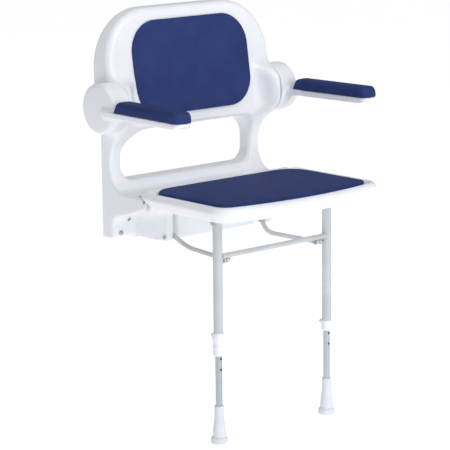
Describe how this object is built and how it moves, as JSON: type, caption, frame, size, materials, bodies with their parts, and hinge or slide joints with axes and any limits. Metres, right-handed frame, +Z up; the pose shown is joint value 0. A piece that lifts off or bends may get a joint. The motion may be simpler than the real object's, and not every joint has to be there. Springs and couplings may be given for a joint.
{
  "type": "shower chair",
  "caption": "Wall-mounted fold-up shower seat with padded back and seat, lift-up padded arms and two height-adjustable legs.",
  "frame": {"origin": "on the wall plane, on the centre line, at the height of the lower pair of wall screws (450 mm above the floor as drawn)", "axes": "+X to the right seen from the front, +Y into the wall, +Z up"},
  "size_m": [0.619, 0.4715, 0.968],
  "materials": {
    "moulding_white": "smooth near-white injection moulding, satin to gloss",
    "pad_navy": "navy integral-skin polyurethane foam, fine leathery grain, slight sheen",
    "tube_white": "white powder coat on steel tube",
    "tube_satin": "satin drawn aluminium tube",
    "stainless": "stainless steel fixings",
    "foot_rubber": "white rubber, matt",
    "collar_plastic": "white moulded plastic",
    "nylon": "natural nylon"
  },
  "bodies": {
    "wall_unit": {"back_moulding": "moulding_white", "back_pad": "pad_navy", "back_pad_studs": "nylon", "wall_screws": "stainless", "wall_washers": "stainless", "cheek_bolts": "stainless", "seat_hinge_rod": "stainless", "hinge_rod_caps": "collar_plastic", "arm_pivot_pins": "stainless", "arm_stop_pegs": "stainless", "arm_washers": "nylon"},
    "seat": {"seat_shell": "moulding_white", "seat_pad": "pad_navy", "seat_pad_studs": "nylon", "hinge_bushes": "nylon", "right_leg_bracket": "tube_white", "left_leg_bracket": "tube_white", "bracket_screws": "stainless", "leg_pivot_bolts": "stainless", "leg_pivot_nuts": "collar_plastic"},
    "leg_frame": {"left_outer_tube": "tube_white", "right_outer_tube": "tube_white", "crossbar": "tube_white", "left_link_bracket": "tube_white", "right_link_bracket": "tube_white", "tube_top_caps": "nylon", "leg_pivot_bushes": "nylon", "link_leg_bolts": "stainless", "button_springs": "stainless", "lock_collar": "collar_plastic", "left_ferrule": "collar_plastic", "right_ferrule": "collar_plastic"},
    "link_rods": {"left_link_rod": "tube_white", "right_link_rod": "tube_white"},
    "left_lower_leg": {"left_inner_tube": "tube_satin", "left_tube_guide": "nylon", "left_foot": "foot_rubber"},
    "left_lock_button": {"left_button": "stainless"},
    "left_arm": {"left_arm_moulding": "moulding_white", "left_arm_pad": "pad_navy", "left_arm_bush": "nylon", "left_arm_screws": "stainless"},
    "right_lower_leg": {"right_inner_tube": "tube_satin", "right_tube_guide": "nylon", "right_foot": "foot_rubber"},
    "right_lock_button": {"right_button": "stainless"},
    "right_arm": {"right_arm_moulding": "moulding_white", "right_arm_pad": "pad_navy", "right_arm_bush": "nylon", "right_arm_screws": "stainless"}
  },
  "joints": [
    {"name": "seat_fold", "type": "hinge", "parent": "wall_unit", "child": "seat", "pos_m": [0, -0.146, 0.091], "axis": [-1, 0, 0], "range_deg": [0, 90]},
    {"name": "leg_fold", "type": "hinge", "parent": "seat", "child": "leg_frame", "pos_m": [0, -0.334, 0.064], "axis": [-1, 0, 0], "range_deg": [-90, 0]},
    {"name": "link_fold", "type": "hinge", "parent": "wall_unit", "child": "link_rods", "pos_m": [0, -0.142, -0.001], "axis": [-1, 0, 0], "range_deg": [0, 90]},
    {"name": "left_leg_extension", "type": "slide", "parent": "leg_frame", "child": "left_lower_leg", "axis": [0, 0, 1], "range_m": [-0.0762, 0.0762]},
    {"name": "left_button_pull", "type": "slide", "parent": "leg_frame", "child": "left_lock_button", "axis": [0, 1, 0], "range_m": [0, 0.004], "stiffness_N_per_m": 600},
    {"name": "left_arm_lift", "type": "hinge", "parent": "wall_unit", "child": "left_arm", "pos_m": [-0.276, -0.057, 0.3], "axis": [-1, 0, 0], "range_deg": [0, 95]},
    {"name": "right_leg_extension", "type": "slide", "parent": "leg_frame", "child": "right_lower_leg", "axis": [0, 0, 1], "range_m": [-0.0762, 0.0762]},
    {"name": "right_button_pull", "type": "slide", "parent": "leg_frame", "child": "right_lock_button", "axis": [0, 1, 0], "range_m": [0, 0.004], "stiffness_N_per_m": 600},
    {"name": "right_arm_lift", "type": "hinge", "parent": "wall_unit", "child": "right_arm", "pos_m": [0.276, -0.057, 0.3], "axis": [-1, 0, 0], "range_deg": [0, 95]}
  ],
  "couplings": [
    {"joint": "leg_fold", "follows": "seat_fold", "ratio": -1},
    {"joint": "link_fold", "follows": "seat_fold", "ratio": 1}
  ]
}
